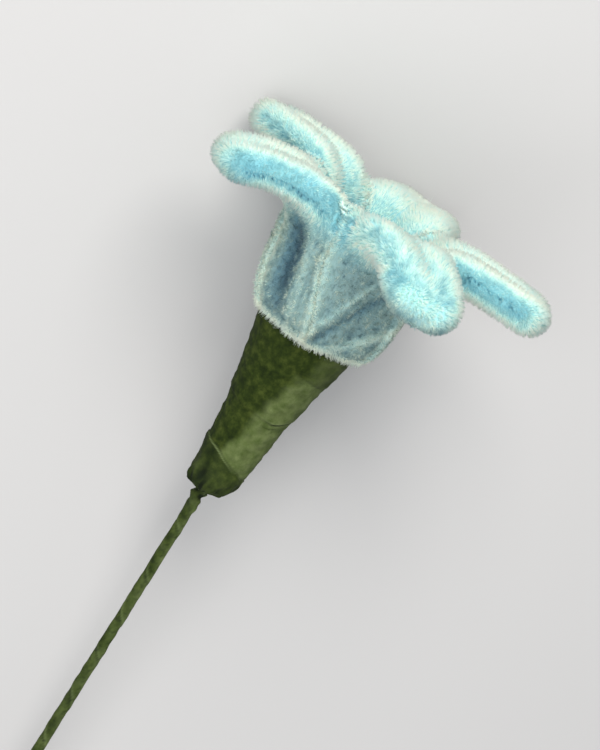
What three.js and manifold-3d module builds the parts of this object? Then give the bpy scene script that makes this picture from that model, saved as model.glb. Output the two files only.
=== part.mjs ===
// Handmade chenille lily: five folded chenille stems on a taped wire stem, lying on a surface.
// Millimetres. The flower is built about its own axis (+Z from the stem to the mouth) and then laid down,
// so that the exported group has +X along the object, +Z up and its origin under the middle of its box.
import * as THREE from "three";
import { mergeVertices } from "three/addons/utils/BufferGeometryUtils.js";
import Module from "manifold-3d";

const wasm = await Module();
wasm.setup();

// ---- Driving dimensions ----
const STEM_BELOW_CONE = 205; // bare taped stem
const STEM_WIRE_TOP = 46; // how far the stem wire reaches up inside the cone
const STEM_WIRE_RADIUS = 0.9;
const STEM_TAPE_RADIUS = 1.5;
const STEM_TAPE_RIDGE = 0.12; // how proud each turn's edge stands
const STEM_TAPE_PITCH = 14;
const STEM_SIDES = 12;

const CONE_HEIGHT = 50.5;
const CONE_WALL = 0.8; // several layers of crepe tape
const CONE_FLOOR = 1.2;
const CONE_SIDES = 28;
const CONE_PLEATS = 7;
const CONE_PLEAT_DEPTH = 0.35;
const CONE_PROFILE = [[0, 3.2], [1.6, 5.6], [4, 6.7], [14.6, 8.2], [25, 9.1], [37, 11.2], [50.5, 13.9]];
// Turns of tape: height of the lower edge, height of the upper edge, slant and its direction, how proud.
const CONE_TURNS = [
  { low: 0, high: 11.5, slant: 0, towards: 0, proud: 0.35 },
  { low: 9, high: 31, slant: 4.2, towards: -90, proud: 0 },
  { low: 28.5, high: 43, slant: 1.2, towards: -60, proud: 0.3 },
  { low: 40.5, high: CONE_HEIGHT, slant: 2.2, towards: -100, proud: 0.6 },
];

const GAP = 0.3; // clearance between pieces that touch
const LEG_BOTTOM = 6; // where the petals' legs start inside the cone
const LEG_INNER_RADIUS = 1.6;
// The bell between the cone and the flare: height, inner radius, outer radius.
const BELL = [[52, 3, 16], [54.5, 5, 18.1], [58, 7.2, 19.2], [64, 9.6, 20.2], [70, 11, 20.8]];
const BELL_TWIST = 18; // how far the petals turn about the axis from the cone to the flare
const FLARE_START_RADIUS = 16.8;
const FLARE_RADIUS = 10.5;
const FLARE_HALF_THICKNESS = 5;
const PETAL_HALF_THICKNESS = 5.3; // one strand
const SEAM_DEPTH = 0.2; // the dip between the strands, as a share of the half thickness
const SQUARE_SECTION = 5; // power of the pressed section in the bell
const ROUND_SECTION = 2; // power of the free section
const TIP_ROUNDING = 11;
const PETAL_SIDES = 20;
const LEAN = 1.4; // sideways step of the flower from the stem's line at the cone's foot

// Angles in degrees about the axis. bell and share are the sector that the petal fills in the bell, and
// tip is where it points. level is the height of its free part, droop how far the tip hangs below that,
// and width is half its width: two strands lie side by side.
const PETALS = [
  { name: "petal_1", bell: -54, share: 38, tip: -62, level: 86.3, droop: 5, reach: 51, width: 11 },
  { name: "petal_2", bell: 22, share: 38, tip: 27.5, level: 86.5, droop: 9.5, reach: 49.5, width: 12.2 },
  { name: "petal_3", bell: 95, share: 35, tip: 90, level: 86.4, droop: 1.2, reach: 51.5, width: 11.8 },
  { name: "petal_4", bell: 167, share: 37, tip: 167, level: 86, droop: 2.2, reach: 49.5, width: 13 },
  { name: "petal_5", bell: 236, share: 32, tip: 237, level: 89.8, droop: 1, reach: 50, width: 11.2 },
];
const CORE_RADIUS = 0.45; // the twisted wire in a chenille stem
const CORE_SIDES = 6;
const CORE_STEPS = 44;
const CORE_END = 4.8; // the wire's cut ends stand a little out of the legs
const RESTS_ON = ["petal_4", "petal_5", "stem_tape"];

const { smoothstep, lerp, degToRad } = THREE.MathUtils;

// ---- Helpers ----
function along(table, at) {
  const next = table.findIndex(([height]) => height >= at);
  if (next <= 0) return table[Math.max(next, 0)][1];
  const [h0, r0] = table[next - 1];
  const [h1, r1] = table[next];
  return lerp(r0, r1, (at - h0) / (h1 - h0));
}

// A closed solid with one ring of sides for each row, from the lowest row up.
function loft(rows, sides, place) {
  const geometry = new THREE.CylinderGeometry(1, 1, 1, sides, rows.length - 1);
  const position = geometry.attributes.position;
  for (let i = 0; i < position.count; i += 1) {
    const row = rows[Math.round((position.getY(i) + 0.5) * (rows.length - 1))];
    const point = place(row, position.getZ(i), position.getX(i));
    position.setXYZ(i, point.x, point.y, point.z);
  }
  return geometry;
}

function toSolid(geometry) {
  const bare = geometry.clone();
  bare.deleteAttribute("normal");
  bare.deleteAttribute("uv");
  const merged = mergeVertices(bare, 1e-4);
  return new wasm.Manifold(new wasm.Mesh({
    numProp: 3,
    vertProperties: new Float32Array(merged.attributes.position.array),
    triVerts: new Uint32Array(merged.index.array),
  }));
}

function toGeometry(solid) {
  const mesh = solid.getMesh();
  const geometry = new THREE.BufferGeometry();
  geometry.setAttribute("position", new THREE.BufferAttribute(new Float32Array(mesh.vertProperties), 3));
  geometry.setIndex(new THREE.BufferAttribute(new Uint32Array(mesh.triVerts), 1));
  return geometry;
}

function polar(radius, angle, height) {
  return new THREE.Vector3(radius * Math.cos(angle), radius * Math.sin(angle), height);
}

// The flower stands a little to one side of the stem's line.
function lean(geometry) {
  const position = geometry.attributes.position;
  for (let i = 0; i < position.count; i += 1) {
    position.setY(i, position.getY(i) + LEAN * smoothstep(position.getZ(i), -3, 9));
  }
  return geometry;
}

function heights(low, high, count) {
  return Array.from({ length: count + 1 }, (_, i) => lerp(low, high, i / count));
}

function tube(path, radius) {
  const section = new THREE.Shape();
  section.absarc(0, 0, radius, 0, 2 * Math.PI);
  const points = section.getSpacedPoints(CORE_SIDES).slice(0, CORE_SIDES);
  const options = { extrudePath: path, steps: CORE_STEPS, bevelEnabled: false };
  return new THREE.ExtrudeGeometry(new THREE.Shape(points), options);
}

// ---- Cone of floral tape ----
function coneTurn({ low, high, slant, towards, proud }) {
  const rows = [...heights(0, 1, Math.max(2, Math.round((high - low) / 4)))];
  return toSolid(loft(rows, CONE_SIDES, (share, x, y) => {
    const angle = Math.atan2(y, x);
    const tilt = slant * Math.cos(angle - degToRad(towards));
    const bottom = low === 0 ? 0 : low + tilt;
    const top = high === CONE_HEIGHT ? high : high + tilt;
    const height = lerp(bottom, top, share);
    const pleats = CONE_PLEAT_DEPTH * Math.cos(CONE_PLEATS * angle) * (1 - smoothstep(height, 1.5, 7));
    const wall = along(CONE_PROFILE, Math.min(height, CONE_HEIGHT)) + proud * (1 - 0.6 * share) + pleats;
    return polar(wall * Math.hypot(x, y), angle, height);
  }));
}

function makeConeTape() {
  const inner = loft(heights(CONE_FLOOR, CONE_HEIGHT + 1, 12), CONE_SIDES, (height, x, y) => {
    const radius = along(CONE_PROFILE, Math.min(height, CONE_HEIGHT)) - CONE_WALL;
    return polar(radius * Math.hypot(x, y), Math.atan2(y, x), height);
  });
  const holeRadius = STEM_TAPE_RADIUS + STEM_TAPE_RIDGE + GAP;
  const hole = loft([-1, CONE_FLOOR + 1], STEM_SIDES * 2, (height, x, y) =>
    polar(holeRadius * Math.hypot(x, y), Math.atan2(y, x), height));
  const turns = CONE_TURNS.map(coneTurn).reduce((sum, turn) => sum.add(turn));
  return toGeometry(turns.subtract(toSolid(inner)).subtract(toSolid(hole)));
}

// ---- Stem ----
function makeStemWire() {
  const rows = [-STEM_BELOW_CONE, -100, ...heights(-4, 10, 6), STEM_WIRE_TOP];
  return loft(rows, STEM_SIDES, (height, x, y) =>
    polar(STEM_WIRE_RADIUS * Math.hypot(x, y), Math.atan2(y, x), height));
}

function makeStemTape() {
  const rows = heights(-STEM_BELOW_CONE, 0.9, 48);
  const outer = loft(rows, STEM_SIDES, (height, x, y) => {
    const angle = Math.atan2(y, x);
    const turn = height / STEM_TAPE_PITCH + angle / (2 * Math.PI);
    const ridge = STEM_TAPE_RIDGE * (turn - Math.floor(turn));
    return polar((STEM_TAPE_RADIUS + ridge) * Math.hypot(x, y), angle, height);
  });
  const bore = loft([-STEM_BELOW_CONE - 1, -4, -1, 2], STEM_SIDES, (height, x, y) =>
    polar((STEM_WIRE_RADIUS + GAP) * Math.hypot(x, y), Math.atan2(y, x), height));
  return toGeometry(toSolid(outer).subtract(toSolid(bore)));
}

// ---- Petals ----
// A station is one place along a petal: its middle (radius, height), its turn from upright and its size.
function wallStation(height, inner, outer) {
  return { radius: (inner + outer) / 2, height, turn: 0, thick: (outer - inner) / 2 };
}

function legStation(height) {
  return wallStation(height, LEG_INNER_RADIUS, along(CONE_PROFILE, height) - CONE_WALL - GAP);
}

function flareStation(petal, share) {
  const turn = (share * Math.PI) / 2;
  return {
    radius: FLARE_START_RADIUS + FLARE_RADIUS * (1 - Math.cos(turn)),
    height: petal.level - FLARE_RADIUS * (1 - Math.sin(turn)),
    turn,
    thick: lerp(FLARE_HALF_THICKNESS, PETAL_HALF_THICKNESS, share),
  };
}

function freeStation(petal, fromTip) {
  const start = FLARE_START_RADIUS + FLARE_RADIUS;
  const share = (petal.reach - fromTip - start) / (petal.reach - start);
  const slope = (1.6 * petal.droop * share ** 0.6) / (petal.reach - start);
  return {
    radius: petal.reach - fromTip,
    height: petal.level - petal.droop * share ** 1.6,
    turn: Math.PI / 2 + Math.atan(slope),
    thick: PETAL_HALF_THICKNESS,
  };
}

// across and through run from -1 to 1 over the petal's width and thickness, +1 being its outer face.
function petalPoint(petal, station, across, through) {
  const radius = station.radius + through * station.thick * Math.cos(station.turn);
  const height = station.height - through * station.thick * Math.sin(station.turn);
  const twist = BELL_TWIST * (1 - smoothstep(station.height, 52, 76));
  const half = degToRad(petal.share) - Math.asin((GAP * 0.6) / radius);
  const pressed = polar(radius, degToRad(petal.bell + twist) + across * half, height);
  const tip = degToRad(petal.tip);
  const free = polar(radius, tip, height);
  free.add(polar(across * petal.width, tip + Math.PI / 2, 0));
  return pressed.lerp(free, smoothstep(station.radius, 21, 32));
}

function strandOutline(x, power) {
  const side = Math.abs(x);
  if (side < 0.5) return 1 - SEAM_DEPTH * Math.cos(Math.PI * side) ** 2;
  return (1 - ((side - 0.5) / 0.5) ** power) ** (1 / power);
}

function petalStations(petal) {
  const legs = [LEG_BOTTOM, 14.6, 25, 37, 46, CONE_HEIGHT].map(legStation);
  const bell = BELL.map(([height, inner, outer]) => wallStation(height, inner, outer));
  const flare = heights(0, 1, 5).map((share) => flareStation(petal, share));
  const free = [15.5, TIP_ROUNDING, 8, 5.5, 3.4, 1.6, 0.5, 0.05].map((left) => freeStation(petal, left));
  return [...legs, ...bell, ...flare, ...free];
}

function petalPath(petal) {
  const up = petalStations(petal).filter(({ radius }) => radius <= petal.reach - TIP_ROUNDING);
  up[0] = { ...up[0], height: CORE_END };
  const turn = heights(-70, 70, 8).map((angle) => {
    const bend = degToRad(angle);
    const left = TIP_ROUNDING - 5.2 * Math.cos(bend);
    return petalPoint(petal, freeStation(petal, left), 0.5 * Math.sin(bend), 0);
  });
  const left = up.map((station) => petalPoint(petal, station, -0.5, 0));
  const right = up.map((station) => petalPoint(petal, station, 0.5, 0)).reverse();
  return new THREE.CatmullRomCurve3([...left, ...turn, ...right], false, "centripetal");
}

function makePetal(petal) {
  const pile = loft(petalStations(petal), PETAL_SIDES, (station, x, y) => {
    const past = Math.max(0, TIP_ROUNDING - (petal.reach - station.radius)) / TIP_ROUNDING;
    const end = Math.max(0, 6 - (petal.reach - station.radius)) / 6;
    const power = lerp(SQUARE_SECTION, ROUND_SECTION, smoothstep(station.radius, 18, 28));
    const narrow = (1 - past ** 2.3) ** (1 / 2.3);
    const thin = Math.sqrt(1 - end ** 2);
    const rim = Math.hypot(x, y) > 0.5 ? Math.sign(Math.round(y * 1e6)) * strandOutline(x, power) : 0;
    return petalPoint(petal, station, -x * narrow, rim * thin);
  });
  const channel = tube(petalPath(petal), CORE_RADIUS + GAP);
  return toGeometry(toSolid(pile).subtract(toSolid(channel)));
}

// ---- Scene graph ----
const pileMaterial = new THREE.MeshStandardMaterial({ color: 0x9fdde0, roughness: 0.95, metalness: 0 });
const tapeMaterial = new THREE.MeshStandardMaterial({ color: 0x4c5737, roughness: 0.85, metalness: 0 });
const wireMaterial = new THREE.MeshStandardMaterial({ color: 0x9a9a96, roughness: 0.4, metalness: 0.9 });

const flower = new THREE.Group();

function addPiece(name, geometry, material) {
  const mesh = new THREE.Mesh(lean(geometry), material);
  mesh.name = name;
  flower.add(mesh);
}

addPiece("stem_wire", makeStemWire(), wireMaterial);
addPiece("stem_tape", makeStemTape(), tapeMaterial);
addPiece("cone_tape", makeConeTape(), tapeMaterial);
for (const petal of PETALS) {
  addPiece(petal.name, makePetal(petal), pileMaterial);
  addPiece(`${petal.name}_wire`, tube(petalPath(petal), CORE_RADIUS), wireMaterial);
}

// ---- Laid down: the flower rests on two petals and the end of its stem ----
function lowest(mesh, up) {
  const point = new THREE.Vector3();
  const best = new THREE.Vector3();
  let least = Infinity;
  const position = mesh.geometry.attributes.position;
  for (let i = 0; i < position.count; i += 1) {
    point.fromBufferAttribute(position, i);
    if (point.dot(up) < least) {
      least = point.dot(up);
      best.copy(point);
    }
  }
  return best;
}

function restingPlane() {
  const middle = degToRad((PETALS[3].tip + PETALS[4].tip) / 2);
  const plane = new THREE.Plane(polar(-1, middle, 0).normalize(), 0);
  for (let pass = 0; pass < 12; pass += 1) {
    const [a, b, c] = RESTS_ON.map((name) => lowest(flower.getObjectByName(name), plane.normal));
    const inward = plane.normal.clone();
    plane.setFromCoplanarPoints(a, b, c);
    if (plane.normal.dot(inward) < 0) plane.negate();
  }
  return plane;
}

const up = restingPlane().normal;
const forward = new THREE.Vector3(0, 0, 1).projectOnPlane(up).normalize();
const across = up.clone().cross(forward);
const laid = new THREE.Matrix4().makeBasis(forward, across, up).transpose();
flower.quaternion.setFromRotationMatrix(laid);
flower.updateMatrixWorld(true);
const box = new THREE.Box3().setFromObject(flower, true);
flower.position.set(-(box.min.x + box.max.x) / 2, -(box.min.y + box.max.y) / 2, -box.min.z);

const lily = new THREE.Group();
lily.add(flower);

export default lily;
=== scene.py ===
import math

import bpy
import numpy as np
from mathutils import Matrix, Vector
from mathutils.kdtree import KDTree


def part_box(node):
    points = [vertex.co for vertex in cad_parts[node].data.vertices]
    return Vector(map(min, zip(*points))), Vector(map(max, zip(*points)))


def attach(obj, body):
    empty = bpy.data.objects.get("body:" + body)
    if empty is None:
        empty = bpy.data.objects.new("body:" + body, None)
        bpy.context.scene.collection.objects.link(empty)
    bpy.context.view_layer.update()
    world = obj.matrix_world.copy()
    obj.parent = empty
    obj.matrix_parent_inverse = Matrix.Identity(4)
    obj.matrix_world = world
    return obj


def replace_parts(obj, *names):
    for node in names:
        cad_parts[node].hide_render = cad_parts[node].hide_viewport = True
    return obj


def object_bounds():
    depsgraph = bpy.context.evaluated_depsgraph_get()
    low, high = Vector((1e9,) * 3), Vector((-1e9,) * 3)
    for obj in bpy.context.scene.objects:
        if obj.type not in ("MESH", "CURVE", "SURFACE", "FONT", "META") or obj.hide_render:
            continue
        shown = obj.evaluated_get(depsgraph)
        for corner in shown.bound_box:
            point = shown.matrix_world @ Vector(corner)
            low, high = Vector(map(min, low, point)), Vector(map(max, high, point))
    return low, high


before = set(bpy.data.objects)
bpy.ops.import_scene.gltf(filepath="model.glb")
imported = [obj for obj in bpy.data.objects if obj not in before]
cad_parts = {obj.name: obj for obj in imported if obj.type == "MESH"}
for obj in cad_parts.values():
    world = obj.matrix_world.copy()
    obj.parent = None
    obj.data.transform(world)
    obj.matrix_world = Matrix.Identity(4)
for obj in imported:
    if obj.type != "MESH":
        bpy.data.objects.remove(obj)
cad_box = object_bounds()

MM = 0.001
PETALS = ["petal_1", "petal_2", "petal_3", "petal_4", "petal_5"]


# ---------------------------------------------------------------- the flower's own axes
def points_of(obj):
    flat = np.empty(len(obj.data.vertices) * 3)
    obj.data.vertices.foreach_get("co", flat)
    return flat.reshape(-1, 3)


def unit(vectors):
    return vectors / np.linalg.norm(vectors, axis=-1, keepdims=True)


FRONT_ROLL = math.radians(23.2)  # how far round from straight up the flower's front lies
LEAN = 1.4 * MM  # sideways step between the stem's line and the flower's
LEAN_SPAN = (-3 * MM, 9 * MM)  # heights between which that step is taken
CLEAR_OF_CONE = 5 * MM  # the stem is straight from this far below the cone

stem_points = points_of(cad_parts["stem_tape"])
bare_stem = stem_points[stem_points[:, 0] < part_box("cone_tape")[0].x - CLEAR_OF_CONE]
stem_middle = bare_stem.mean(axis=0)
AXIS = np.linalg.svd(bare_stem - stem_middle, full_matrices=False)[2][0]
AXIS = AXIS * np.sign(AXIS[0])
upward = unit(np.array([0.0, 0.0, 1.0]) - AXIS[2] * AXIS)
FRONT = math.cos(FRONT_ROLL) * upward + math.sin(FRONT_ROLL) * np.cross(upward, AXIS)
RIGHT = np.cross(AXIS, FRONT)
cone_foot = (points_of(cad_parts["cone_tape"]) @ AXIS).min()
FOOT = stem_middle + AXIS * (cone_foot - stem_middle @ AXIS)


def smoothstep(low, high, value):
    """0 below low, 1 above high, and a smooth rise between them."""
    share = np.clip((value - low) / (high - low), 0, 1)
    return share * share * (3 - 2 * share)


def fade(low, high, value):
    """1 below low, 0 above high, and a smooth fall between them."""
    return 1 - smoothstep(low, high, value)


def to_flower(points):
    """Height along the flower's axis, and sideways places towards its front and right."""
    offset = points - FOOT
    height = offset @ AXIS
    right = offset @ RIGHT - LEAN * smoothstep(*LEAN_SPAN, height)
    return height, offset @ FRONT, right


def from_flower(height, front, right):
    """The points in space at heights and sideways places on the flower's own axes."""
    shifted = right + LEAN * smoothstep(*LEAN_SPAN, height)
    return FOOT + np.outer(height, AXIS) + np.outer(front, FRONT) + np.outer(shifted, RIGHT)


# ---------------------------------------------------------------- camera
CAMERA_TILT = math.radians(14)  # how far the camera looks down into the flower's mouth
CAMERA_TURN = math.radians(32.3)  # how far the flower's axis leans to the right of the view
CAMERA_DISTANCE = 700 * MM
CAMERA_LENS = 127.7
CAMERA_SENSOR = 36
LOOK_AT_HEIGHT = 38.7 * MM
LOOK_AT_RIGHT = 5.9 * MM


def place_camera():
    """Puts the camera in its place, and gives its right, its up and the way towards it."""
    towards = math.sin(CAMERA_TILT) * AXIS + math.cos(CAMERA_TILT) * FRONT
    axis_seen = math.cos(CAMERA_TILT) * AXIS - math.sin(CAMERA_TILT) * FRONT
    view_right = math.sin(CAMERA_TURN) * axis_seen + math.cos(CAMERA_TURN) * RIGHT
    view_up = math.cos(CAMERA_TURN) * axis_seen - math.sin(CAMERA_TURN) * RIGHT
    target = FOOT + LOOK_AT_HEIGHT * axis_seen + LOOK_AT_RIGHT * RIGHT
    camera = bpy.data.objects.new("camera", bpy.data.cameras.new("camera"))
    bpy.context.scene.collection.objects.link(camera)
    camera.data.lens = CAMERA_LENS
    camera.data.sensor_width = CAMERA_SENSOR
    camera.data.dof.use_dof = False
    camera.data.clip_start = 10 * MM
    rotation = np.identity(4)
    rotation[:3, 0] = view_right
    rotation[:3, 1] = view_up
    rotation[:3, 2] = towards
    rotation[:3, 3] = target + CAMERA_DISTANCE * towards
    camera.matrix_world = Matrix(rotation.tolist())
    bpy.context.scene.camera = camera
    return view_right, view_up, towards


VIEW_RIGHT, VIEW_UP, TOWARDS_CAMERA = place_camera()


# ---------------------------------------------------------------- materials
# Colours along a fibre from its root to its cut end, on open pile and on pressed pile; the pale cut ends
# are painted light shining through the fibres' tips.
OPEN_PILE = [
    (0.0, (0.04, 0.14, 0.20)),
    (0.18, (0.16, 0.42, 0.51)),
    (0.45, (0.25, 0.53, 0.58)),
    (0.72, (0.66, 0.94, 0.88)),
    (1.0, (0.98, 1.0, 0.87)),
]
# Pressed pile on the cup: darker and greyer, partly for the pressed pile and partly as painted shade under
# the overhanging petals.
PRESSED_SHADED_PILE = [
    (0.0, (0.025, 0.065, 0.10)),
    (0.25, (0.10, 0.18, 0.21)),
    (0.6, (0.31, 0.41, 0.37)),
    (1.0, (0.84, 0.90, 0.73)),
]
PILE_TINT = [(0.35, (0.88, 0.97, 1.0)), (0.65, (1.0, 1.0, 0.97))]
PILE_SHEEN = (0.85, 1.0, 0.98, 1)
TAPE_GREENS = [
    (0.34, (0.008, 0.016, 0.001)),
    (0.50, (0.020, 0.033, 0.003)),
    (0.70, (0.048, 0.066, 0.010)),
]
# Paler greens painted on the tape's lit side.
LIT_SIDE_TAPE = [(0.36, (0.078, 0.112, 0.028)), (0.64, (0.150, 0.188, 0.068))]
# A painted highlight along the tape's proud edges.
TAPE_EDGE_HIGHLIGHT = (0.18, 0.23, 0.09, 1)
# Painted shade in the tape's creases and under its laps, and the dark of the stem's own spots.
TAPE_SHADE_AND_SPOTS = (0.008, 0.014, 0.004, 1)
BARE_METAL = [(0.3, (0.42, 0.42, 0.41)), (0.7, (0.60, 0.60, 0.58))]
METAL_ROUGHNESS = (0.3, 0.5)
PALE_FLOOR = (0.56, 0.55, 0.54, 1)

# Size of the mottling, as noise scale, detail and roughness.
PILE_CLOUDS = (170, 3.0, 0.55)
TAPE_CLOUDS = (420, 5, 0.65)
LIT_SIDE_CLOUDS = (300, 5, 0.7)
CREPE_GRAIN = (1500, 4, 0.7)
METAL_STREAKS = (900, 2, 0.55)


def new_material(name):
    material = bpy.data.materials.new(name)
    material.use_nodes = True
    return material, material.node_tree.nodes, material.node_tree.links


def ramp(nodes, links, factor, stops):
    """Colours a factor by its place between the stops."""
    node = nodes.new("ShaderNodeValToRGB")
    elements = node.color_ramp.elements
    while len(elements) < len(stops):
        elements.new(0.5)
    for element, (place, colour) in zip(elements, stops):
        element.position = place
        element.color = (*colour, 1)
    links.new(factor, node.inputs["Fac"])
    return node.outputs["Color"]


def mottle_group():
    """Cloudy noise over an object's own place, which the pile, the tape and the wire all use."""
    group = bpy.data.node_groups.new("mottle", "ShaderNodeTree")
    for socket in ("Scale", "Detail", "Roughness"):
        group.interface.new_socket(socket, in_out="INPUT", socket_type="NodeSocketFloat")
    group.interface.new_socket("Mask", in_out="OUTPUT", socket_type="NodeSocketFloat")
    given = group.nodes.new("NodeGroupInput")
    cloud = group.nodes.new("ShaderNodeTexNoise")
    place = group.nodes.new("ShaderNodeTexCoord")
    result = group.nodes.new("NodeGroupOutput")
    group.links.new(place.outputs["Object"], cloud.inputs["Vector"])
    for socket in ("Scale", "Detail", "Roughness"):
        group.links.new(given.outputs[socket], cloud.inputs[socket])
    group.links.new(cloud.outputs["Fac"], result.inputs["Mask"])
    return group


MOTTLE = mottle_group()


def mottle(nodes, scale, detail, roughness):
    node = nodes.new("ShaderNodeGroup")
    node.node_tree = MOTTLE
    node.inputs["Scale"].default_value = scale
    node.inputs["Detail"].default_value = detail
    node.inputs["Roughness"].default_value = roughness
    return node.outputs["Mask"]


def mix(nodes, links, factor, first, second, blend="MIX"):
    """Mixes two colours, each given as a socket or as a plain colour."""
    node = nodes.new("ShaderNodeMix")
    node.data_type = "RGBA"
    node.blend_type = blend
    for socket, value in ((node.inputs[0], factor), (node.inputs[6], first), (node.inputs[7], second)):
        if isinstance(value, bpy.types.NodeSocket):
            links.new(value, socket)
        else:
            socket.default_value = value
    return node.outputs[2]


def painted(nodes, name):
    node = nodes.new("ShaderNodeAttribute")
    node.attribute_name = name
    return node.outputs["Fac"]


def pile_material():
    """Chenille pile. "pile" runs from a fibre's root to its cut end, whose paleness is painted light, and
    "bloom_and_light" runs from pressed pile in painted shade to open, lit pile.
    """
    material, nodes, links = new_material("chenille_pile")
    shader = nodes["Principled BSDF"]
    shader.inputs["Roughness"].default_value = 0.8
    shader.inputs["Sheen Weight"].default_value = 0.2
    shader.inputs["Sheen Roughness"].default_value = 0.4
    shader.inputs["Sheen Tint"].default_value = PILE_SHEEN
    along = painted(nodes, "pile")
    open_pile = ramp(nodes, links, along, OPEN_PILE)
    pressed_shaded_pile = ramp(nodes, links, along, PRESSED_SHADED_PILE)
    colour = mix(nodes, links, painted(nodes, "bloom_and_light"), pressed_shaded_pile, open_pile)
    tint = ramp(nodes, links, mottle(nodes, *PILE_CLOUDS), PILE_TINT)
    links.new(mix(nodes, links, 1.0, colour, tint, "MULTIPLY"), shader.inputs["Base Color"])
    return material


def tape_material():
    """Crepe paper tape: mottled olive green, with painted highlights along its edges, painted light on its
    lit side, and painted shade in its creases.
    """
    material, nodes, links = new_material("floral_tape")
    shader = nodes["Principled BSDF"]
    shader.inputs["Roughness"].default_value = 0.85
    shader.inputs["Specular IOR Level"].default_value = 0.15
    colour = ramp(nodes, links, mottle(nodes, *TAPE_CLOUDS), TAPE_GREENS)
    painted_light = ramp(nodes, links, mottle(nodes, *LIT_SIDE_CLOUDS), LIT_SIDE_TAPE)
    lit_side = mix(nodes, links, painted(nodes, "lit_side"), colour, painted_light)
    edge_lit = mix(nodes, links, painted(nodes, "edge_highlight"), lit_side, TAPE_EDGE_HIGHLIGHT)
    shaded_colour = mix(nodes, links, painted(nodes, "shade_and_spots"), edge_lit, TAPE_SHADE_AND_SPOTS)
    links.new(shaded_colour, shader.inputs["Base Color"])
    grain = mottle(nodes, *CREPE_GRAIN)
    bump = nodes.new("ShaderNodeBump")
    bump.inputs["Strength"].default_value = 0.45
    bump.inputs["Distance"].default_value = 0.2 * MM
    links.new(grain, bump.inputs["Height"])
    links.new(bump.outputs["Normal"], shader.inputs["Normal"])
    return material


def wire_material():
    """Drawn wire, with faint streaks in its colour and its shine."""
    material, nodes, links = new_material("wire")
    shader = nodes["Principled BSDF"]
    shader.inputs["Metallic"].default_value = 1.0
    streaks = mottle(nodes, *METAL_STREAKS)
    links.new(ramp(nodes, links, streaks, BARE_METAL), shader.inputs["Base Color"])
    rough = nodes.new("ShaderNodeMapRange")
    rough.inputs["To Min"].default_value = METAL_ROUGHNESS[0]
    rough.inputs["To Max"].default_value = METAL_ROUGHNESS[1]
    links.new(streaks, rough.inputs["Value"])
    links.new(rough.outputs["Result"], shader.inputs["Roughness"])
    return material


def floor_material():
    material, nodes, _ = new_material("pale_floor")
    shader = nodes["Principled BSDF"]
    shader.inputs["Base Color"].default_value = PALE_FLOOR
    shader.inputs["Roughness"].default_value = 0.9
    return material


PILE = pile_material()
TAPE = tape_material()
WIRE = wire_material()


def wear(obj, material):
    obj.data.materials.clear()
    obj.data.materials.append(material)


# ---------------------------------------------------------------- working on meshes
def select_only(*objects):
    bpy.ops.object.select_all(action="DESELECT")
    for obj in objects:
        obj.select_set(True)
    bpy.context.view_layer.objects.active = objects[0]


def edit(obj, *steps):
    """Runs edit-mode operators on all of one object."""
    select_only(obj)
    bpy.ops.object.mode_set(mode="EDIT")
    bpy.ops.mesh.select_all(action="SELECT")
    for step, settings in steps:
        step(**settings)
    bpy.ops.object.mode_set(mode="OBJECT")


def apply_modifier(obj, kind, **settings):
    modifier = obj.modifiers.new(kind.lower(), kind)
    for key, value in settings.items():
        setattr(modifier, key, value)
    select_only(obj)
    bpy.ops.object.modifier_apply(modifier=modifier.name)


def move_points(obj, points):
    obj.data.vertices.foreach_set("co", points.reshape(-1))
    obj.data.update()


def normals_of(obj):
    flat = np.empty(len(obj.data.vertices) * 3)
    obj.data.vertices.foreach_get("normal", flat)
    return flat.reshape(-1, 3)


def paint(mesh, name, values):
    """Writes one value for each point, which the materials read by its name."""
    layer = mesh.attributes.new(name, "FLOAT", "POINT")
    layer.data.foreach_set("value", np.ascontiguousarray(values, dtype=float).reshape(-1))


WAVE_COUNT = 24
WAVE_STRETCH = (0.6, 1.6)


def waves(points, scale, seed):
    """Smooth noise from about -1 to 1: a sum of sine waves in random directions."""
    dice = np.random.default_rng(seed)
    total = np.zeros(len(points))
    for _ in range(WAVE_COUNT):
        direction = unit(dice.normal(size=points.shape[1]))
        direction = direction * dice.uniform(*WAVE_STRETCH) * 2 * math.pi / scale
        total += np.sin(points @ direction + dice.uniform(0, 2 * math.pi))
    return total / math.sqrt(WAVE_COUNT)


def near(value, centre, width):
    """1 at the centre, fading to 0 a width away on either side."""
    return fade(0, 1, np.abs(value - centre) / width)


def turned(degrees):
    """The same angle between -180 and 180 degrees."""
    return (degrees + 180) % 360 - 180


# ---------------------------------------------------------------- chenille petals
VOXEL = 0.8 * MM
WIRE_FILL = 0.6 * MM  # the wire is swollen by this to fill the channel it lies in
GROOVE_FILL = 9.5 * MM  # pile closes over hollows tighter than this
ROUNDING_PASSES = 14
FIBRE_RADIUS = 0.13 * MM
FIBRES_PER_PETAL = 39000
FIBRES_PER_TUFT = 9
STRAY_HAIRS = 110
STRAY_LENGTHS = (0.5, 2.8)  # in mm
FLOOR_GAP = 0.15 * MM
BAKE_MAP = "OFBake"  # the map that a piece's colours are laid out on
FIBRE_SHARE = 0.7  # the part of that map given to the fibres, the rest being for the body
MAP_GAP = 0.02

# A fibre is a spike on a three-sided root: its faces, and its corners' places in a cell of the map.
SPIKE_FACES = np.array([[0, 2, 1], [0, 1, 3], [1, 2, 3], [2, 0, 3]])
SPIKE_CELL = np.array([[0.1, 0.1], [0.5, 0.22], [0.9, 0.1], [0.5, 0.92]])

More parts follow.
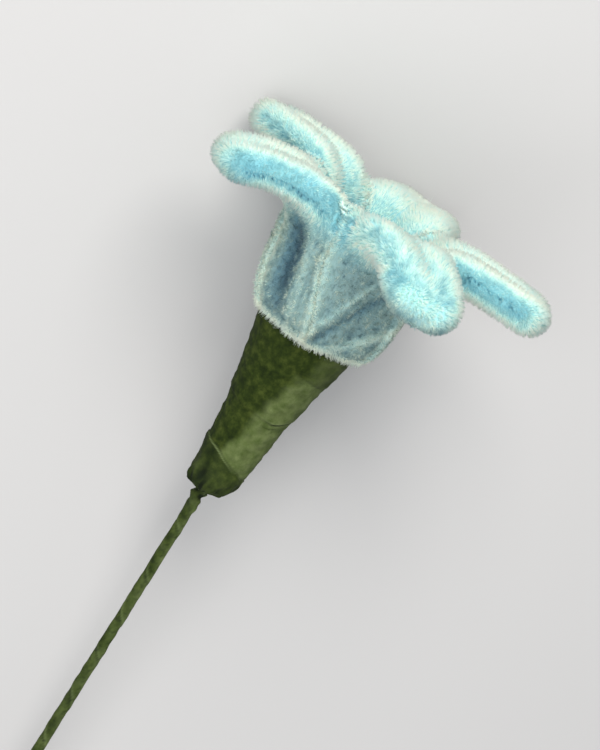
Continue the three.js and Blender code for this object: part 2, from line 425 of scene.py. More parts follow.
# Heights along the flower's axis.
CONE_TOP = 50.5 * MM
CUP_TOP = 76 * MM
CUP_ENDS = (CUP_TOP, 82 * MM)
THROAT = (64 * MM, 72 * MM)  # the petals' insides show from here up
PETALS_PART = (74 * MM, 83 * MM)  # the petals come free of one another
FRINGE_REACH = 2.2 * MM  # cut ends stand over the cone's edge this far either side of it
SKIN_HEIGHTS = np.array([50, 54, 58, 64, 72]) * MM
CUP_SKIN = np.array([12.5, 15, 16, 17, 17.5]) * MM  # pile outside these radii shows, at those heights

# Reaches out from the flower's axis.
WIRE_SPREAD = 30 * MM  # beyond this a wire shows which way its petal points
PARTING_STARTS = (24 * MM, 28 * MM)
PARTING_ENDS = (43 * MM, 46 * MM)
MATTED_ENDS = (28 * MM, 38 * MM)
COMBED = (34 * MM, 50 * MM)
# from here out the petals' tips are painted pale, as rim light
TIP_LIT_RIM = (46 * MM, 50 * MM)

# Gaps between neighbouring petals, from closed to open.
TOUCHING = (1.5 * MM, 4 * MM)
BRIDGED = (2.2 * MM, 3.8 * MM)

# Depths in mm, and shades from 0 to 1.
CUP_PILE = 0.5
FREE_PILE = 0.8
PARTED_PILE = 0.4
INSIDE_CONE = 1.3
BODY_SHADE = 0.44
# The cup's low bloom gives the darker pressed colours, for pressed pile and painted shade under the petals;
# the cup's painted light raises it.
PRESSED_SHADED_BLOOM = 0.12
LIT_LINE_BLOOM = 0.22

# This way is towards the camera: the pile is blue where its fibres point along it, and painted pale, as rim
# light, where they lie across it.
END_ON = unit(0.97 * FRONT + 0.24 * AXIS)
END_ON_FACING = 0.8  # how much the surface's own direction counts, the rest being the way out from the wire

# Where the pile parts, round the wire from sideways towards up in degrees, how open it is there,
# how much paler than the others the petal is, and how far its pile is combed past its tip, in mm.
PARTING = {
    "petal_1": (-12, 0.9, -0.03, -2.2),
    "petal_2": (88, 0.3, -0.12, 1.4),
    "petal_3": (172, 0.8, 0.05, 0.3),
    "petal_4": (84, 0.3, 0.26, 0.0),
    "petal_5": (-10, 0.4, 0.07, -0.5),
}
PARTING_WIDTH = 15

# Lines on the outside of the cup: degrees round at the mouth, turn per mm down, half width in
# degrees, how far it stands out in mm, how much painted light it gets (below 0, painted shade in a
# channel), and how many mm down it fades out.
CUP_LINES = [
    (-15, 0.58, 13, 0.6, 0.5, 50),
    (-48, 0.36, 16, -1.6, -1.3, 27),
    (-31, 0.5, 8, 0.2, 0.35, 40),
    (27, -1.15, 5, 0.5, 0.55, 40),
    (43, -1.5, 6, -0.7, -0.6, 40),
    (60, 0.6, 6, 0.4, 0.5, 40),
    (95, 0.6, 8, -1.2, -0.6, 40),
    (130, 0.6, 6, 0.6, 0.6, 40),
    (167, 0.6, 8, -1.2, -0.6, 40),
    (204, 0.6, 6, 0.6, 0.6, 40),
    (236, 0.6, 8, -1.2, -0.6, 30),
    (283, 0.30, 20, -0.9, 1.1, 60),
]


def copy_of(node, name):
    """A copy of a CAD node's mesh in an object of its own, with its loose triangles merged."""
    obj = bpy.data.objects.new(name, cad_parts[node].data.copy())
    bpy.context.scene.collection.objects.link(obj)
    edit(obj, (bpy.ops.mesh.remove_doubles, {"threshold": 0.005 * MM}))
    return obj


def petal_envelope(name):
    """The outside of the pile: the petal's solid with its wire's channel filled, rounded off."""
    petal = copy_of(name, name + "_pile")
    wire = copy_of(name + "_wire", name + "_fill")
    edit(wire, (bpy.ops.transform.shrink_fatten, {"value": WIRE_FILL}))
    select_only(petal, wire)
    bpy.ops.object.join()
    for strength in (GROOVE_FILL, -GROOVE_FILL):
        apply_modifier(petal, "REMESH", mode="VOXEL", voxel_size=VOXEL)
        apply_modifier(petal, "DISPLACE", strength=strength, mid_level=0)
    apply_modifier(petal, "REMESH", mode="VOXEL", voxel_size=VOXEL)
    apply_modifier(petal, "SMOOTH", factor=0.5, iterations=ROUNDING_PASSES)
    return petal


def search_tree(points):
    tree = KDTree(len(points))
    for index, point in enumerate(points):
        tree.insert(point, index)
    tree.balance()
    return tree


def nearest(tree, points):
    """The nearest point of a tree to each of the points, as its number and its distance."""
    found = [tree.find(point) for point in points]
    return np.array([hit[1] for hit in found]), np.array([hit[2] for hit in found])


def main_direction(points):
    """The direction in which a cloud of points is longest."""
    return np.linalg.svd(points - points.mean(axis=0), full_matrices=False)[2][0]


def wire_line(name):
    """Points along the middle of a petal's wire, and the wire's direction at each."""
    wire = copy_of(name + "_wire", name + "_line")
    edit(wire, (bpy.ops.mesh.subdivide, {"number_cuts": 2}),
         (bpy.ops.mesh.vertices_smooth, {"factor": 0.5, "repeat": 40}))
    line = points_of(wire)
    bpy.data.objects.remove(wire)
    tree = search_tree(line)
    along = np.empty_like(line)
    for index, point in enumerate(line):
        along[index] = main_direction(np.array([hit[0] for hit in tree.find_n(point, 40)]))
    return line, along, tree


def away_from_axis(front, right):
    """The direction straight out from the flower's axis at each sideways place."""
    return unit(front[:, None] * FRONT + right[:, None] * RIGHT)


def cup_marks(points):
    """How far the cup's outside stands out at each point, in metres, and the painted light there: lighter
    on its ridges, a diagonal band and its right side, with painted shade, below 0, in its channels.
    """
    height, front, right = to_flower(points)
    angle = np.degrees(np.arctan2(right, front))
    down = (CUP_TOP - height) / MM
    stands = np.zeros(len(points))
    painted_light = np.zeros(len(points))
    for start, turn, width, relief, paleness, end in CUP_LINES:
        on_line = near(turned(angle - start - turn * down), 0, width) * fade(0.5 * end, end, down)
        stands += on_line * relief * MM
        painted_light += on_line * paleness
    in_cup = smoothstep(CONE_TOP, CONE_TOP + 4 * MM, height) * fade(*CUP_ENDS, height)
    band_height = 49.5 + (angle - 16) / 3.4
    low_band = near(height / MM, band_height, 4) * smoothstep(5, 25, angle) * fade(80, 110, angle)
    right_side = smoothstep(30, 60, angle) * fade(100, 130, angle)
    # Painted light: a diagonal band low on the cup and its right side are made paler.
    return stands * in_cup, painted_light + 0.8 * low_band + 0.3 * right_side


def surface_samples(mesh, count, dice, weight):
    """Random places on a mesh, spread evenly by area times weight."""
    mesh.calc_loop_triangles()
    corners = np.empty(len(mesh.loop_triangles) * 3, dtype=int)
    mesh.loop_triangles.foreach_get("vertices", corners)
    flat = np.empty(len(mesh.vertices) * 3)
    mesh.vertices.foreach_get("co", flat)
    place = flat.reshape(-1, 3)[corners.reshape(-1, 3)]
    cross = np.cross(place[:, 1] - place[:, 0], place[:, 2] - place[:, 0])
    area = np.linalg.norm(cross, axis=1) * weight(place.mean(axis=1), unit(cross))
    chosen = dice.choice(len(area), size=count, p=area / area.sum())
    split = dice.dirichlet([1, 1, 1], size=count)
    return (place[chosen] * split[:, :, None]).sum(axis=1), unit(cross[chosen])


def cover_weight(points, facing):
    """Pile is laid where it shows: none inside the cone, and little where petals press together."""
    height, front, right = to_flower(points)
    across = (facing * away_from_axis(front, right)).sum(axis=1)
    in_cup = fade(*THROAT, height)
    open_air = np.maximum(smoothstep(-0.2, 0.1, across), 0.4 * smoothstep(0.4, 0.7, -across))
    skin = np.interp(height, SKIN_HEIGHTS, CUP_SKIN)
    open_air = np.maximum(open_air, smoothstep(0, 1 * MM, np.hypot(front, right) - skin))
    hem = fade(CONE_TOP + 2 * MM, CONE_TOP + 3 * MM, height)
    covered = smoothstep(CONE_TOP - 1.5 * MM, CONE_TOP + 0.5 * MM, height)
    return covered * (1 - in_cup * (1 - np.maximum(open_air, hem)))


def fibres_mesh(name, roots, tips, radius):
    """A closed three-sided spike for each fibre, each with a cell of its own on the bake's map."""
    count = len(roots)
    along = unit(tips - roots)
    helper = np.where(np.abs(along[:, 2:3]) < 0.9, [[0.0, 0.0, 1.0]], [[1.0, 0.0, 0.0]])
    side = unit(np.cross(along, helper))
    other = np.cross(along, side)
    corners = np.empty((count, 4, 3))
    for index in range(3):
        angle = 2 * math.pi * index / 3
        corners[:, index] = roots + radius[:, None] * (math.cos(angle) * side + math.sin(angle) * other)
    corners[:, 3] = tips
    indices = (np.arange(count)[:, None, None] * 4 + SPIKE_FACES[None]).reshape(-1)
    mesh = bpy.data.meshes.new(name)
    mesh.vertices.add(count * 4)
    mesh.vertices.foreach_set("co", corners.reshape(-1))
    mesh.loops.add(count * 12)
    mesh.loops.foreach_set("vertex_index", indices)
    mesh.polygons.add(count * 4)
    mesh.polygons.foreach_set("loop_start", np.arange(count * 4) * 3)
    mesh.update(calc_edges=True)
    columns = math.ceil(math.sqrt(count / FIBRE_SHARE))
    cell = np.stack([np.arange(count) % columns, np.arange(count) // columns], axis=1) / columns
    in_cell = SPIKE_CELL / columns
    layout = (cell[:, None] + in_cell[SPIKE_FACES.reshape(-1)][None]).reshape(-1)
    mesh.uv_layers.new(name=BAKE_MAP).data.foreach_set("uv", layout)
    return mesh


def unfold_body(body):
    """Lays the body out on the part of the bake's map that the fibres leave."""
    body.data.uv_layers.new(name=BAKE_MAP)
    edit(body, (bpy.ops.uv.smart_project, {"angle_limit": 1.15, "island_margin": 0.004}))
    flat = np.empty(len(body.data.loops) * 2)
    layer = body.data.uv_layers[BAKE_MAP]
    layer.data.foreach_get("uv", flat)
    flat = flat.reshape(-1, 2)
    flat = (flat - flat.min(axis=0)) / (flat.max(axis=0) - flat.min(axis=0))
    flat[:, 1] = FIBRE_SHARE + MAP_GAP + (1 - MAP_GAP - FIBRE_SHARE) * flat[:, 1]
    layer.data.foreach_set("uv", flat.reshape(-1))


class PetalAxes:
    """The directions that a petal's pile is combed by, taken from its wire."""

    def __init__(self, name):
        self.line, self.along, self.tree = wire_line(name)
        _, front, right = to_flower(self.line)
        spread = np.hypot(front, right) > WIRE_SPREAD
        self.out = unit(front[spread].mean() * FRONT + right[spread].mean() * RIGHT)
        self.side = np.cross(AXIS, self.out)
        self.parting, self.openness, self.paleness, self.combed_out = PARTING[name]

    def from_wire(self, points):
        """Each point's offset from the wire, square to it."""
        index, _ = nearest(self.tree, points)
        offset = points - self.line[index]
        along = self.along[index]
        return offset - (offset * along).sum(axis=1, keepdims=True) * along


class PileLook:
    """What a petal's pile does at each point: how free it is, its cream rim of painted rim light, the cup's
    painted light and shade, and its parting with painted shade in it.
    """

    def __init__(self, points, facing, axes, seed):
        self.radial = unit(axes.from_wire(points))
        self.height, self.front, self.right = to_flower(points)
        self.reach = np.hypot(self.front, self.right)
        self.free = smoothstep(*PETALS_PART, self.height)
        self.pressed = 1 - self.free
        self.fringe = near(self.height, CONE_TOP + 0.5 * MM, FRINGE_REACH)
        _, self.painted_light = cup_marks(points)
        self.lit_rim = self.find_lit_rim(points, facing, axes, seed)
        self.parted = self.find_parting(points, axes, seed)
        # Dark specks in the parting: painted shade in the hollow where the pile parts.
        self.shaded_specks = self.parted * smoothstep(0.0, 0.8, waves(points, 1.1 * MM, seed + 2))

    def find_lit_rim(self, points, facing, axes, seed):
        # Painted rim light: pale where the pile is seen edge-on from the camera, at the petals' tips, and
        # on the undersides of open petals.
        way = unit((1 - END_ON_FACING) * self.radial + END_ON_FACING * facing)
        end_on = np.abs(way @ END_ON)
        lit_rim = fade(0.42, 0.90, end_on + 0.07 * waves(points, 3 * MM, seed + 1))
        lit_rim = np.maximum(lit_rim, 0.9 * smoothstep(*TIP_LIT_RIM, self.reach))
        underside = smoothstep(0.25, 0.8, -(self.radial @ AXIS))
        return np.maximum(lit_rim, 0.75 * underside * axes.openness)

    def find_parting(self, points, axes, seed):
        round_wire = np.degrees(np.arctan2(self.radial @ AXIS, self.radial @ axes.side))
        wander = 6 * waves(points, 6 * MM, seed + 3)
        parted = near(turned(round_wire - axes.parting + wander), 0, PARTING_WIDTH)
        along = smoothstep(*PARTING_STARTS, self.reach) * fade(*PARTING_ENDS, self.reach)
        return parted * axes.openness * self.free * along


def body_sink(look, gap):
    """How far the body lies under the outside of its pile."""
    in_cone = fade(CONE_TOP - 1 * MM, CONE_TOP + 0.5 * MM, look.height)
    open_side = smoothstep(*TOUCHING, gap)
    under_pile = CUP_PILE + (FREE_PILE + PARTED_PILE * look.parted) * look.free
    return under_pile * open_side * (1 - in_cone) * MM + INSIDE_CONE * MM * in_cone


def puff_out(body, axes, neighbours):
    """Moves a body out to where its pile ends, with the cup's lines, closed gaps and combed tip.

    Gives its points there, and the gap from each to the nearest other petal.
    """
    outer = points_of(body)
    facing = normals_of(body)
    stands, _ = cup_marks(outer)
    height, front, right = to_flower(outer)
    outward = away_from_axis(front, right)
    faces_out = smoothstep(0.0, 0.6, (facing * outward).sum(axis=1))
    _, gap = nearest(neighbours, outer)
    bridging = (gap / 2 + 0.5 * MM) * fade(*BRIDGED, gap)
    bridging *= smoothstep(CONE_TOP, CONE_TOP + 2 * MM, height)
    combed = axes.combed_out * MM * smoothstep(*COMBED, np.hypot(front, right))
    outer = outer + outward * (stands * faces_out)[:, None] + facing * bridging[:, None]
    outer += combed[:, None] * axes.out
    move_points(body, outer)
    return outer, gap


def comb_fibres(place, facing, look, close_by, seed, dice):
    """The fibres' roots, tips and radii: combed, drawn into tufts, with a few stray hairs."""
    count = len(place)
    meeting = fade(*TOUCHING, close_by)
    comb = 0.6 * waves(place, 2.6 * MM, seed * 10)[:, None] * AXIS
    droop = 0.9 * look.fringe[:, None] * AXIS
    cup_way = unit(facing + comb + 0.22 * dice.normal(size=(count, 3)) - droop)
    raised = 0.8 + 1.3 * fade(0.3, 0.8, (look.radial * facing).sum(axis=1))
    free_way = unit(look.radial + raised[:, None] * facing + 0.07 * dice.normal(size=(count, 3)))
    direction = unit(cup_way * look.pressed[:, None] + free_way * look.free[:, None])
    depth = body_sink(look, close_by) + (0.5 + 0.6 * look.free) * MM
    beyond = 0.35 + 0.9 * look.fringe + 0.9 * meeting + look.free * (0.25 * look.lit_rim - 0.5 * look.parted)
    beyond = beyond * MM * dice.uniform(0.2, 1.1, count)
    roots = place - direction * depth[:, None]
    tips = place + direction * beyond[:, None]
    radius = FIBRE_RADIUS * dice.uniform(0.8, 1.2, count) * (1 + 0.35 * meeting)

    tufts = dice.choice(count, size=count // FIBRES_PER_TUFT, replace=False)
    in_tuft, _ = nearest(search_tree(tips[tufts]), tips)
    gather = 0.06 + 0.55 * look.lit_rim * look.free + 0.30 * look.pressed
    tips += gather[:, None] * (tips[tufts][in_tuft] - tips)

    hairs = dice.choice(count, size=STRAY_HAIRS, replace=False)
    stray = unit(direction[hairs] + 0.5 * dice.normal(size=(STRAY_HAIRS, 3)))
    length = dice.uniform(*STRAY_LENGTHS, STRAY_HAIRS) * MM * look.free[hairs]
    tips[hairs] += stray * length[:, None]
    radius[hairs] *= 0.5
    for ends in (roots, tips):
        ends[:, 2] = np.maximum(ends[:, 2], FLOOR_GAP)
    return roots, tips, radius


def fibre_colours(place, look, close_by, axes, seed):
    """The pile's colour value at the fibres' roots and tips, with its painted light and shade, and how open
    and lit it is.
    """
    mottling = waves(place, 2.6 * MM, seed * 10 + 1)
    patch = smoothstep(-0.5, 0.9, waves(place, 5 * MM, seed * 10 + 2))
    arc = np.arctan2(look.right, look.front) * 20 * MM
    streaks = waves(np.stack([arc, 0.3 * look.height], axis=1), 2.2 * MM, seed * 10 + 3)
    matted = smoothstep(0.5, 1.3, waves(place, 1.7 * MM, seed * 10 + 4))
    matted = matted * fade(*MATTED_ENDS, look.reach)
    meeting = fade(*TOUCHING, close_by)
    # Open tips: paler with painted rim light, darker with painted shade in the parting.
    free_tip = 0.50 + axes.paleness + 0.50 * look.lit_rim + 0.16 * patch + 0.30 * matted - 1.2 * look.shaded_specks
    # On the cup, painted light makes tips and roots paler and painted shade makes them darker.
    cup_tip = 0.62 + 0.42 * look.painted_light + 0.20 * mottling + 0.16 * streaks + 0.7 * look.fringe + 0.3 * meeting
    free_root = 0.40 + 0.25 * look.lit_rim - 0.4 * look.shaded_specks
    cup_root = BODY_SHADE + 0.2 * look.painted_light + 0.5 * look.fringe
    tip = np.clip(free_tip * look.free + cup_tip * look.pressed, 0, 1)
    root = np.clip(free_root * look.free + cup_root * look.pressed, 0, 1)
    # The cup keeps the pressed colours, for pressed pile and painted shade under the petals, lifted by its
    # painted light and cut ends.
    cup_bloom_and_light = PRESSED_SHADED_BLOOM + LIT_LINE_BLOOM * np.maximum(look.painted_light, 0) + 0.25 * look.fringe
    return root, tip, np.clip(look.free + look.pressed * cup_bloom_and_light, 0, 1)


def grow_pile(name, seed, body, axes, neighbours):
    """All the fibres of one petal, standing on its outside, as one mesh."""
    dice = np.random.default_rng(seed)
    count = FIBRES_PER_PETAL
    place, facing = surface_samples(body.data, count, dice, cover_weight)
    look = PileLook(place, facing, axes, seed * 100)
    _, close_by = nearest(neighbours, place)
    roots, tips, radius = comb_fibres(place, facing, look, close_by, seed, dice)
    root, tip, bloom_and_light = fibre_colours(place, look, close_by, axes, seed)
    spikes = fibres_mesh(name + "_fibres", roots, tips, radius)
    paint(spikes, "pile", np.stack([root, root, root, tip], axis=1))
    paint(spikes, "bloom_and_light", np.repeat(bloom_and_light, 4))
    return spikes


def sink_body(body, outer, gap, axes, seed):
    """Lets the body down under its pile, and shades it as the fibres' roots are."""
    facing = normals_of(body)
    look = PileLook(outer, facing, axes, seed * 100)
    sunk = outer - facing * body_sink(look, gap)[:, None]
    sunk[:, 2] = np.maximum(sunk[:, 2], FLOOR_GAP)
    # The body gets the same painted rim light, painted light on the cup and painted shade in the parting as
    # the fibres' roots.
    shade = BODY_SHADE + 0.15 * look.lit_rim * look.free + 0.3 * look.painted_light * look.pressed - 0.45 * look.shaded_specks
    move_points(body, sunk)
    cup_bloom_and_light = PRESSED_SHADED_BLOOM + LIT_LINE_BLOOM * np.clip(look.painted_light, 0, 1)
    paint(body.data, "pile", np.clip(shade, 0, 1))
    paint(body.data, "bloom_and_light", look.free + look.pressed * cup_bloom_and_light)
    unfold_body(body)


def add_object(name, mesh):
    obj = bpy.data.objects.new(name, mesh)
    bpy.context.scene.collection.objects.link(obj)
    wear(obj, PILE)
    return obj


def make_petal(name, seed, body, others):
    axes = PetalAxes(name)
    neighbours = search_tree(others)
    outer, gap = puff_out(body, axes, neighbours)
    fibres = add_object(name + "_fibres", grow_pile(name, seed, body, axes, neighbours))
    sink_body(body, outer, gap, axes, seed)
    wear(body, PILE)
    select_only(body, fibres)
    bpy.ops.object.join()
    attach(body, "root")
    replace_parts(body, name)


petal_bodies = {petal_name: petal_envelope(petal_name) for petal_name in PETALS}
outsides = {petal_name: points_of(body) for petal_name, body in petal_bodies.items()}
for petal_number, (petal_name, petal_body) in enumerate(petal_bodies.items(), 1):
    others = np.concatenate([outsides[other] for other in PETALS if other != petal_name])
    make_petal(petal_name, petal_number, petal_body, others)


# ---------------------------------------------------------------- loose lock of pile
LOCK_FIBRES = 260
LOCK_SEED = 9
LOCK_SWELL = 0.55
LOCK_TOP = from_flower(88.0 * MM, 21.4 * MM, -9.4 * MM)[0]
LOCK_FOOT = from_flower(84.8 * MM, 22.0 * MM, -6.0 * MM)[0]


def make_loose_lock():
    """A small twisted lock of cut pile that stands out between the two front petals."""
    dice = np.random.default_rng(LOCK_SEED)
    share = np.sort(dice.uniform(0, 1, LOCK_FIBRES))
    twist = 2 * math.pi * (1.2 * share + dice.integers(0, 2, LOCK_FIBRES) / 2)
    swell = LOCK_SWELL * np.sin(math.pi * np.clip(share + 0.1, 0, 1)) * MM
    middle = LOCK_TOP + (LOCK_FOOT - LOCK_TOP) * share[:, None]
    across = unit(np.cross(LOCK_FOOT - LOCK_TOP, FRONT))
    middle = middle + (swell * np.cos(twist))[:, None] * across + (swell * np.sin(twist))[:, None] * FRONT
    way = unit(LOCK_FOOT - LOCK_TOP) + 0.45 * dice.normal(size=(LOCK_FIBRES, 3))
    radius = FIBRE_RADIUS * dice.uniform(0.7, 1.1, LOCK_FIBRES)
    spikes = fibres_mesh("loose_lock", middle - 0.6 * MM * way, middle + 0.7 * MM * way, radius)
    paint(spikes, "pile", np.repeat(dice.uniform(0.6, 0.98, LOCK_FIBRES), 4))
    paint(spikes, "bloom_and_light", np.ones(LOCK_FIBRES * 4))
    lock = add_object("loose_lock", spikes)
    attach(lock, "root")


make_loose_lock()


# ---------------------------------------------------------------- tape round the cone and the stem
# The cone's height and radius, in mm, from its foot up.
CONE_OUTLINE = [(-0.4, 1.7), (0.0, 3.4), (0.9, 4.9), (2.2, 6.0), (4, 6.6), (14.6, 8.0), (25, 8.9),
                (37, 11.0), (50.5, 13.7)]
# Heights of the laps' proud edges, in mm, at degrees round the cone.
MID_EDGE = [(-180, 29.5), (-74, 28.2), (35, 26.5), (90, 29.3), (180, 29.5)]
TOP_EDGE = [(-180, 44), (-60, 46), (0, 43.5), (33, 42), (73, 40.6), (120, 42), (180, 44)]
# The lowest lap's edge is a tilted ring.
LOW_EDGE = 10.8
LOW_EDGE_TILT = 3.7
LOW_EDGE_TURN = math.radians(75)
SECOND_EDGE_DROP = 1.6  # a second fold lies this far under the middle lap's edge
CONE_AROUND = 200
CONE_ROWS = 170
WALL_ROWS = 12  # the rows that go back down inside the cone
ROW_CROWDING = 1.15  # above 1, rows lie closer together towards the foot
CONE_RIM = 50.3
INSIDE_FOOT = 0.5
WALL = 0.75
TUCK = 0.2  # the tape's laps build out from this far inside the cone's outline

STEM_AROUND = 20
STEM_ROWS = 560
STEM_OUTSIDE = 0.9  # share of the stem's rows on its outside
STEM_RADIUS = 1.42 * MM
STEM_BORE = 0.92 * MM
STEM_PITCH = 14 * MM
STEM_TOP = 20 * MM
END_GAP = 0.02 * MM
LAST_ROW = 1e-4


def read_off(table, place):
    """The values that a table of places and values gives, with straight lines in between."""
    places, values = np.transpose(table)
    return np.interp(place, places, values)


def out_and_back(run, outside_share):
    """Shares of the way along a shell's outside, and then back along its inside."""
    back = np.clip((run - outside_share) / (1 - outside_share), 0, 1)
    return np.clip(run / outside_share, 0, 1), back


def wrapped_shell(name, around, rows, place):
    """A grid rolled into a closed shell: place gives each point from its shares round and along."""
    bpy.ops.object.select_all(action="DESELECT")
    bpy.ops.mesh.primitive_grid_add(x_subdivisions=around, y_subdivisions=rows, size=1)
    shell = bpy.context.object
    shell.name = name
    flat = points_of(shell)
    points, marks = place(flat[:, 0] + 0.5, np.clip(flat[:, 1] + 0.5, 0, 1))
    for mark, values in marks.items():
        paint(shell.data, mark, np.clip(values, 0, 1))
    move_points(shell, points)
    edit(shell, (bpy.ops.mesh.remove_doubles, {"threshold": 0.004 * MM}),
         (bpy.ops.mesh.normals_make_consistent, {"inside": False}),
         (bpy.ops.mesh.faces_shade_smooth, {}))
    wear(shell, TAPE)
    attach(shell, "root")
    return shell


class ConeLaps:
    """The laps, folds and hollows of the tape at each point of the cone, as shares from 0 to 1."""

    def __init__(self, angle, height, ring):
        bearing = np.radians(angle)
        self.low_edge = LOW_EDGE + LOW_EDGE_TILT * np.cos(bearing + LOW_EDGE_TURN)
        self.low_edge += 0.15 * waves(ring, 5, 3)
        self.mid_edge = read_off(MID_EDGE, angle)
        self.second_edge = self.mid_edge - SECOND_EDGE_DROP
        self.top_edge = read_off(TOP_EDGE, angle)
        self.right_side = smoothstep(-10, 30, angle) * fade(120, 160, angle)
        self.low = fade(self.low_edge - 0.15, self.low_edge + 0.15, height)
        self.mid = smoothstep(self.mid_edge - 0.15, self.mid_edge + 0.15, height)
        self.second = smoothstep(self.second_edge - 0.12, self.second_edge + 0.12, height) * self.right_side
        self.top = smoothstep(self.top_edge - 0.15, self.top_edge + 0.15, height)
        self.pucker = fade(1.0, 7.5, height)
        self.pleats = np.sin(9 * bearing + 1.5 * waves(ring, 9, 5)) + 0.6 * np.sin(17 * bearing + 2)
        self.wrinkles = waves(ring * [1, 1, 1.8], 4.5, 7)
        self.dent = near(angle, -28, 16) * near(height, 4.6, 3.6)
        self.bulge = near(angle, -48, 24) * near(height, 5.5, 4.5)

    def relief(self, height):
        """How far the tape stands out, in mm."""
        relief = 0.36 * self.low + 0.32 * self.mid + 0.12 * self.second
        relief += 0.28 * self.top * (0.3 + 0.7 * self.right_side)
        relief += 0.45 * self.pucker * self.pleats * smoothstep(-0.3, 0.8, height)
        relief += 0.10 * self.wrinkles + 0.6 * self.bulge - 1.0 * self.dent
        return relief


def cone_marks(laps, angle, height, ring):
    """Where light and shade are painted on the cone's tape: light on its lit side, highlights along its
    proud edges, and shade in its creases and hollows.
    """
    # Painted light: the tape is paler on the side the key light falls on, less so under the laps, and on
    # the foot's bulge.
    bound = -12 + 1.3 * (height - 14) + 4 * waves(ring, 7, 11)
    lit_side = smoothstep(-9, 9, angle - bound) * fade(120, 150, angle) * (0.78 + 0.10 * laps.wrinkles)
    lit_side *= (1 - 0.55 * laps.top) * (1 - 0.35 * smoothstep(60, 85, angle)) * (1 - 0.85 * laps.low)
    lit_side += 0.3 * laps.bulge
    # Painted highlights along the laps' proud edges, and a small painted highlight low on the right.
    edge_highlight = 0.9 * near(height, laps.low_edge - 0.25, 0.35) * near(angle, -30, 70)
    edge_highlight += 0.35 * near(height, laps.mid_edge + 0.35, 0.4) * laps.right_side
    edge_highlight += near(angle, 78, 9) * near(height, 7.2, 0.9)
    # Painted shade in the creases under the laps' edges, in the foot's pleats and dent, and on the low
    # lap's left; the bulge is painted lighter.
    shade_and_spots = 1.2 * near(height, laps.mid_edge - 0.1, 0.5) * smoothstep(20, 45, angle) * laps.right_side
    shade_and_spots += 0.6 * near(height, laps.second_edge - 0.1, 0.22) * laps.right_side * near(angle, 38, 20)
    shade_and_spots += 0.7 * near(height, laps.top_edge - 0.1, 0.28) * near(angle, 60, 40)
    shade_and_spots += 0.5 * near(height, laps.low_edge + 0.25, 0.35)
    shade_and_spots += 0.35 * laps.low * fade(-50, 30, angle)
    shade_and_spots += 0.9 * laps.pucker * smoothstep(0.1, 1.1, -laps.pleats) + 1.0 * laps.dent - 0.3 * laps.bulge
    return {"lit_side": lit_side, "edge_highlight": edge_highlight, "shade_and_spots": shade_and_spots}


def cone_place(turn, run):
    """The tape over the cone: three laps with proud edges, a side painted paler as lit, and a puckered
    foot.
    """
    angle = 360 * turn - 180
    bearing = np.radians(angle)
    outside_share = 1 - WALL_ROWS / CONE_ROWS
    inside = run > outside_share
    last = run > 1 - LAST_ROW
    up, back = out_and_back(run, outside_share)
    foot, foot_radius = CONE_OUTLINE[0]
    height = np.interp(up ** ROW_CROWDING, [0, 1], [foot, CONE_OUTLINE[-1][0]])
    radius = read_off(CONE_OUTLINE, height)
    ring = np.stack([np.cos(bearing) * radius, np.sin(bearing) * radius, height], axis=1)
    laps = ConeLaps(angle, height, ring)
    radius = radius + laps.relief(height) * smoothstep(-0.4, 0.6, height) - TUCK
    height = np.where(inside, CONE_RIM * (1 - back) + INSIDE_FOOT * back, height)
    radius = np.where(inside, read_off(CONE_OUTLINE, height) - WALL, radius)
    radius = np.where(last, foot_radius - TUCK, radius)
    height = np.where(last, foot, height)
    points = from_flower(height * MM, np.cos(bearing) * radius * MM, np.sin(bearing) * radius * MM)
    return points, cone_marks(laps, angle, height, ring)


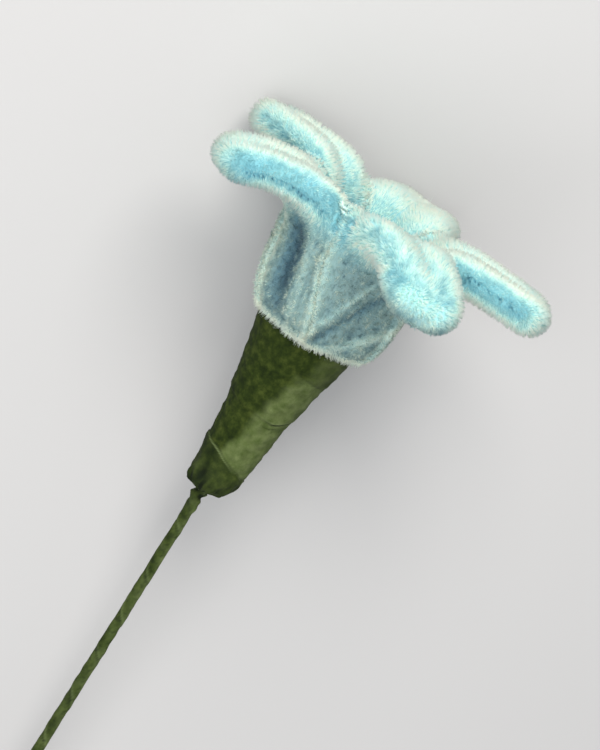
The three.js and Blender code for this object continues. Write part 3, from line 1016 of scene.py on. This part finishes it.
def stem_place(turn, run):
    """The tape wound down the stem: a low step along one helix, slight lumps, folds at the top."""
    heights = (stem_points - FOOT) @ AXIS
    low = heights.min() + END_GAP
    high = min(heights.max(), STEM_TOP)
    bearing = 2 * math.pi * turn
    up, back = out_and_back(run, STEM_OUTSIDE)
    inside = run > STEM_OUTSIDE
    height = np.where(inside, high + (low - high) * back, low + (high - low) * up)
    ring = np.stack([np.cos(bearing) * 1.5, np.sin(bearing) * 1.5, height / MM], axis=1)
    lap = (turn + height / STEM_PITCH + 0.06 * waves(ring[:, 2:], 14, 21)) % 1
    bunched = smoothstep(-9, -2, height / MM)
    folds = waves(ring, 2.6, 25)
    relief = 0.13 * fade(0.0, 0.9, lap) * smoothstep(0.0, 0.05, lap)
    relief += 0.05 * waves(ring, 3.5, 22) + 0.4 * bunched * (0.6 + folds)
    radius = np.where(inside, STEM_BORE, STEM_RADIUS + relief * MM)
    radius = np.where((run > 1 - LAST_ROW) | (run < LAST_ROW), STEM_RADIUS, radius)
    points = from_flower(height, np.cos(bearing) * radius, np.sin(bearing) * radius)
    spots = smoothstep(0.2, 1.2, waves(ring, 1.6, 24))
    # Painted shade along the laps' edges and in the folds at the top, with the tape's own dark spots.
    shade_and_spots = 0.5 * np.maximum(near(lap, 0.0, 0.05), near(lap, 1.0, 0.05)) + 0.45 * spots
    shade_and_spots += 0.9 * bunched * smoothstep(-0.2, 0.8, -folds)
    # Painted light: one side of the stem is paler, as lit.
    lit_side = 0.25 + 0.6 * near(turned(360 * turn - 80), 0, 75) + 0.15 * waves(ring, 6, 23)
    # A painted highlight along each lap's edge on the stem.
    return points, {"lit_side": lit_side, "edge_highlight": 0.3 * near(lap, 0.09, 0.08), "shade_and_spots": shade_and_spots}


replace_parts(wrapped_shell("cone_wrap", CONE_AROUND, CONE_ROWS, cone_place), "cone_tape")
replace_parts(wrapped_shell("stem_wrap", STEM_AROUND, STEM_ROWS, stem_place), "stem_tape")

for node_name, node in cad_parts.items():
    if node_name.endswith("wire"):
        wear(node, WIRE)


# ---------------------------------------------------------------- floor and lights
FLOOR_SIZE = 60
LIT_HEIGHT = 60 * MM  # the lights aim at this height on the flower's axis
WORLD_COLOUR = (0.92, 0.96, 1.0, 1)
WORLD_STRENGTH = 0.5


def make_floor():
    low, _ = cad_box
    bpy.ops.object.select_all(action="DESELECT")
    bpy.ops.mesh.primitive_plane_add(size=FLOOR_SIZE, location=(0, 0, low[2]))
    floor = bpy.context.object
    floor.name = "floor"
    wear(floor, floor_material())


def area_light(name, direction, distance, size, power, colour):
    """A round light that stands off from the flower in a direction and faces it."""
    light = bpy.data.objects.new(name, bpy.data.lights.new(name, "AREA"))
    bpy.context.scene.collection.objects.link(light)
    light.data.shape = "DISK"
    light.data.size = size
    light.data.energy = power
    light.data.color = colour
    centre = Vector(FOOT + LIT_HEIGHT * AXIS)
    aim = Vector(unit(direction))
    light.location = centre + aim * distance
    light.rotation_euler = aim.to_track_quat("Z", "Y").to_euler()


def light_scene():
    world = bpy.data.worlds.new("world")
    bpy.context.scene.world = world
    world.use_nodes = True
    background = world.node_tree.nodes["Background"]
    background.inputs["Color"].default_value = WORLD_COLOUR
    background.inputs["Strength"].default_value = WORLD_STRENGTH
    key = 0.4 * VIEW_RIGHT + 0.6 * VIEW_UP + 1.1 * TOWARDS_CAMERA
    area_light("key", key, distance=0.95, size=0.6, power=7.4, colour=(1.0, 0.98, 0.95))
    fill = -0.4 * VIEW_RIGHT - 0.35 * VIEW_UP + 1.2 * TOWARDS_CAMERA
    area_light("fill", fill, distance=1.1, size=0.9, power=6.8, colour=(0.98, 0.98, 1.0))


make_floor()
light_scene()
bpy.context.scene.view_settings.view_transform = "Standard"
